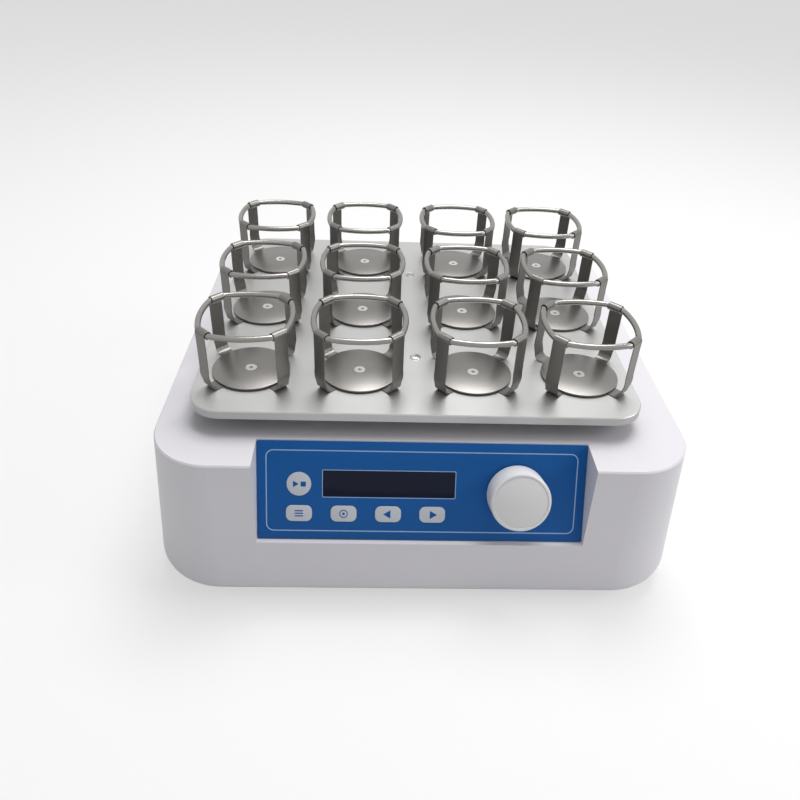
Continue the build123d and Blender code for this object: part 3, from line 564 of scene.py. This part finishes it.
# %% Panel plate
plate_low = panel_thickness * tan(lean) + 0.05 * MM
plate = rounded_block(
    "panel_plate", panel_width, panel_height - plate_low, 1.2 * MM, -panel_thickness, 0.0,
    0.0, (panel_height + plate_low) / 2, 0.15 * MM,
)
cut_low, cut_high = -3 * MM, 1 * MM
cutters = [
    rounded_block(
        "cutter", key_width + 2 * key_gap, key_height + 2 * key_gap, key_corner + key_gap,
        cut_low, cut_high, x, key_row,
    )
    for x in key_columns
]
cutters.append(flat_cylinder("cutter", start_radius + key_gap, cut_low, cut_high, first_key, start_row))
cutters.append(flat_cylinder("cutter", bushing_hole, cut_low, cut_high, knob_x, knob_y))
cutters.append(
    rounded_block(
        "cutter", window_width + 2 * key_gap, window_height + 2 * key_gap, 0.6 * MM,
        cut_low, cut_high, window_x, window_y,
    )
)
cutter = join(cutters, "cutter")
modify(plate, "BOOLEAN", operation="DIFFERENCE", object=cutter, solver="EXACT")
bpy.data.objects.remove(cutter)
smooth(plate, 30)
move(plate, panel_place)
settle(plate, "housing", "panel_blue", blue_foil, "control_panel")
print("plate faces:", len(plate.data.polygons))

# %% [markdown]
# The pale line that runs round the panel is printed. It is made as a hair-thin raised frame, as a
# printed line of paint is, so that it also lives in the exported mesh.

# %% Border line and window
border_width, border_height, border_y, print_height = 206.0 * MM, 55.8 * MM, 34.1 * MM, 0.06 * MM
border = rounded_frame(
    "border_line", border_width, border_height, 5.0 * MM, 0.7 * MM, 0.0, print_height, 0.0, border_y
)
move(border, panel_place)
settle(border, "housing", "panel_blue", pale_line)
window = rounded_block(
    "display_window", window_width, window_height, 0.5 * MM, -1.45 * MM, -0.12 * MM,
    window_x, window_y, 0.1 * MM,
)
smooth(window)
move(window, panel_place)
settle(window, "housing", "display_dark", dark_window)
line_margin = 1.5 * MM
window_line = rounded_frame(
    "window_line", window_width + line_margin, window_height + line_margin, 0.9 * MM, 0.45 * MM,
    0.0, print_height, window_x, window_y,
)
move(window_line, panel_place)
settle(window_line, "housing", "panel_blue", pale_line)
print("border faces:", len(border.data.polygons))

# %% [markdown]
# The keys stand a little out of the plate, with softened top edges. Each one keeps the flange and the
# stem behind the plate that the CAD gives it, so nothing floats.

# %% Keys
key_top, key_back, flange_top, stem_back = 0.35 * MM, -2.6 * MM, -1.6 * MM, -4.55 * MM
flange_margin, stem_side = 2.0 * MM, 4.0 * MM


def key_stem(x, y):
    """The stem that reaches back to the switch."""
    return rounded_block("stem", stem_side, stem_side, 0.3 * MM, stem_back, key_back + 0.01 * MM, x, y)


key_set = []
for name, x in zip(("menu_key", "mode_key", "left_key", "right_key"), key_columns):
    cap = rounded_block("cap", key_width, key_height, key_corner, key_back, key_top, x, key_row, 0.3 * MM)
    flange = rounded_block(
        "flange", key_width + flange_margin, key_height + flange_margin, 1.0 * MM,
        key_back, flange_top, x, key_row,
    )
    key_set.append((name, [cap, flange, key_stem(x, key_row)]))
round_cap = flat_cylinder("cap", start_radius, key_back, key_top, first_key, start_row)
pick(round_cap, "EDGE", lambda middle, along: middle.z > key_top - 1e-6)
bpy.ops.mesh.bevel(offset=0.3 * MM, segments=3, affect="EDGES")
round_side = 2 * start_radius + flange_margin
round_flange = rounded_block(
    "flange", round_side, round_side, 2.0 * MM, key_back, flange_top, first_key, start_row
)
key_set.append(("start_stop_key", [round_cap, round_flange, key_stem(first_key, start_row)]))
key_body = {
    "start_stop_key": "start_stop_button", "menu_key": "menu_button", "mode_key": "mode_button",
    "left_key": "left_button", "right_key": "right_button",
}
for name, pieces in key_set:
    cap = join(pieces, name + "_cap")
    smooth(cap)
    move(cap, panel_place)
    settle(cap, key_body[name], "key_grey", key_foil, name)
print("keys:", len(key_set))

# %% [markdown]
# Each key carries a plain printed mark: arrows for left and right, bars for the menu, a ring with a
# dot for the mode, and a triangle beside a square for start and stop.

# %% Marks on the keys
def flat_mark(name, sides, radius, x, y, turn=0.0, squeeze=1.0):
    """A thin regular shape on a key."""
    mark = begin(
        name, bpy.ops.mesh.primitive_cylinder_add, vertices=sides, radius=radius, depth=0.05 * MM,
        location=(0, 0, 0),
    )
    place = Matrix.Translation((x, y, key_top + 0.025 * MM)) @ Matrix.Diagonal((1, squeeze, 1, 1))
    move(mark, place @ Matrix.Rotation(turn, 4, "Z"))
    pick(mark, "EDGE", lambda middle, along: middle.z > key_top + 0.03 * MM)
    bpy.ops.mesh.bevel(offset=0.015 * MM, segments=1, affect="EDGES")
    clear()
    return mark


def bar_mark(width, height, x, y):
    """A thin printed bar."""
    return rounded_block("mark", width, height, 0.3 * MM, key_top, key_top + 0.05 * MM, x, y)


menu_x, mode_x, left_x, right_x = key_columns
arrow_radius, bar_step, ring_width = 3.3 * MM, 1.8 * MM, 5.6 * MM
marks = {
    "left_key": [flat_mark("mark", 3, arrow_radius, left_x, key_row, radians(90))],
    "right_key": [flat_mark("mark", 3, arrow_radius, right_x, key_row, radians(-90))],
    "menu_key": [
        bar_mark(ring_width, 0.8 * MM, menu_x, key_row + shift) for shift in (-bar_step, 0.0, bar_step)
    ],
    "mode_key": [
        rounded_frame(
            "mark", ring_width, ring_width, 2.79 * MM, 0.6 * MM, key_top, key_top + 0.05 * MM,
            mode_x, key_row,
        ),
        flat_mark("mark", 24, 0.9 * MM, mode_x, key_row),
    ],
    "start_stop_key": [
        flat_mark("mark", 3, 2.5 * MM, menu_x - 2.6 * MM, start_row, radians(-90)),
        bar_mark(3.4 * MM, 3.4 * MM, menu_x + 2.9 * MM, start_row),
    ],
}
for name, pieces in marks.items():
    mark = join(pieces, name + "_mark")
    move(mark, panel_place)
    settle(mark, key_body[name], "panel_blue", blue_foil)
print("marks:", len(marks))

# %% [markdown]
# The knob is turned: a profile is spun round its axis. Its side is smooth, a small bevel runs
# round the top, and a flat face sits inside it.

# %% Knob
knob_low = 1.2 * MM
knob_profile = [(17.4, 0.0), (19.5, 0.0), (19.8, 0.3), (19.7, 16.4), (19.4, 17.2), (18.5, 17.9)]
knob_profile += [(17.6, 18.0), (17.3, 17.7), (17.2, 17.5), (0.0, 17.5)]
inside_profile = [(17.4, 0.0), (16.9, 15.4), (6.6, 15.4), (6.6, 0.2), (3.1, 0.2), (3.1, 11.0), (0.0, 11.0)]


def turned(name, profile, segments=96):
    """Spin a profile of radius and height pairs round the Z axis."""
    piece = begin(name, bpy.ops.mesh.primitive_circle_add, vertices=segments, radius=profile[0][0] * MM)
    bpy.ops.object.mode_set(mode="EDIT")
    bpy.ops.mesh.select_all(action="SELECT")
    bpy.ops.transform.translate(value=(0, 0, profile[0][1] * MM))
    for (r0, z0), (r1, z1) in zip(profile, profile[1:]):
        bpy.ops.mesh.extrude_region_move(TRANSFORM_OT_translate={"value": (0, 0, (z1 - z0) * MM)})
        scale = max(r1, 1e-4) / r0
        bpy.ops.transform.resize(value=(scale, scale, 1.0))
    clear()
    return piece


shell = turned("knob_shell", knob_profile)
lining = turned("knob_lining", inside_profile)
knob = join([shell, lining], "knob_turned")
recalculate(knob)
smooth(knob, 25)
knob_place = panel_place @ Matrix.Translation((knob_x, knob_y, knob_low))
move(knob, knob_place)
settle(knob, "knob_turning", "knob_silver", knob_silver, "knob")
face = flat_cylinder("knob_face", 17.15 * MM, 17.5 * MM, 17.8 * MM, sides=96)
pick(face, "EDGE", lambda middle, along: middle.z > 17.79 * MM)
bpy.ops.mesh.bevel(offset=0.1 * MM, segments=2, affect="EDGES")
smooth(face)
move(face, knob_place)
settle(face, "knob_turning", "knob_silver", knob_face_grey)
print("knob faces:", len(knob.data.polygons))

# %% [markdown]
# Two socket screws hold the platform on its carrier. Their heads are low domes with a round socket.

# %% Platform screws
low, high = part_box("platform_screws")
x_mid, y_mid = (low.x + high.x) / 2, (low.y + high.y) / 2
head_profile = [(3.95, 0.0), (3.95, 0.25), (3.5, 0.7), (1.7, 0.9), (1.7, 0.85)]
screw_spread = 68.0 * MM
for number, shift in enumerate((-screw_spread, screw_spread), 1):
    head = turned("platform_screw_" + str(number), head_profile, 48)
    pick(head, "VERT", lambda point, normal: point.xy.length < 1.9 * MM and point.z > 0.8 * MM)
    bpy.ops.mesh.edge_face_add()
    bpy.ops.mesh.inset(thickness=0.2 * MM)
    bpy.ops.mesh.inset(thickness=0.1 * MM, depth=-0.6 * MM)
    recalculate(head)
    smooth(head)
    move(head, Matrix.Translation((x_mid, y_mid + shift, platform_top + 0.01 * MM)))
    settle(head, "carriage", "screw_steel", bright_screw)
print("platform screws: 2")

# %% [markdown]
# The stage: a pale floor that keeps the shadow, a white world for the camera and for mirrors, and
# soft lamps. The floor mixes a little white emission for camera rays with a plain matte surface.

# %% Stage and light
floor_size, floor_glow, sky_for_matte, sky_for_mirrors = 8.0, 0.55, 0.36, 1.0
floor = begin("floor", bpy.ops.mesh.primitive_plane_add, size=floor_size, location=(0, 1.0, 0))
floor_paint = bpy.data.materials.new("floor_paint")
floor_paint.use_nodes = True
tree = floor_paint.node_tree
matte = tree.nodes["Principled BSDF"]
matte.inputs["Base Color"].default_value = (0.88, 0.88, 0.88, 1.0)
matte.inputs["Roughness"].default_value = 0.9
matte.inputs["Specular IOR Level"].default_value = 0.1
glow = tree.nodes.new("ShaderNodeEmission")
path = tree.nodes.new("ShaderNodeLightPath")
share = tree.nodes.new("ShaderNodeMath")
share.operation = "MULTIPLY"
share.inputs[1].default_value = floor_glow
mixer = tree.nodes.new("ShaderNodeMixShader")
tree.links.new(path.outputs["Is Camera Ray"], share.inputs[0])
tree.links.new(share.outputs[0], mixer.inputs["Fac"])
tree.links.new(matte.outputs["BSDF"], mixer.inputs[1])
tree.links.new(glow.outputs["Emission"], mixer.inputs[2])
tree.links.new(mixer.outputs["Shader"], tree.nodes["Material Output"].inputs["Surface"])
floor.data.materials.append(floor_paint)

world = bpy.data.worlds.new("studio")
bpy.context.scene.world = world
world.use_nodes = True
tree = world.node_tree
sky = tree.nodes["Background"]
sky.inputs["Color"].default_value = (1.0, 1.0, 1.0, 1.0)
path = tree.nodes.new("ShaderNodeLightPath")
seen = tree.nodes.new("ShaderNodeMath")
seen.operation = "ADD"
seen.use_clamp = True
seen_more = tree.nodes.new("ShaderNodeMath")
seen_more.operation = "ADD"
seen_more.use_clamp = True
level_of = tree.nodes.new("ShaderNodeMapRange")
level_of.inputs["To Min"].default_value = sky_for_matte
level_of.inputs["To Max"].default_value = sky_for_mirrors
tree.links.new(path.outputs["Is Camera Ray"], seen.inputs[0])
tree.links.new(path.outputs["Is Glossy Ray"], seen.inputs[1])
tree.links.new(seen.outputs[0], seen_more.inputs[0])
tree.links.new(path.outputs["Is Transmission Ray"], seen_more.inputs[1])
tree.links.new(seen_more.outputs[0], level_of.inputs["Value"])
tree.links.new(level_of.outputs["Result"], sky.inputs["Strength"])


def lamp(name, place, target, size, watts):
    """A square area lamp aimed at a point."""
    light = bpy.data.lights.new(name, "AREA")
    light.shape, light.size, light.energy = "SQUARE", size, watts
    holder = bpy.data.objects.new(name, light)
    bpy.context.scene.collection.objects.link(holder)
    aim = (Vector(target) - Vector(place)).to_track_quat("-Z", "Y")
    holder.matrix_world = Matrix.Translation(place) @ aim.to_matrix().to_4x4()
    return holder


lamp("overhead", (0.2, 0.4, 1.5), (0, 0, 0.1), 0.9, 19.0)
lamp("right_side", (1.1, -0.3, 0.8), (0, 0, 0.08), 0.6, 4.0)
bpy.context.scene.view_settings.view_transform = "Standard"
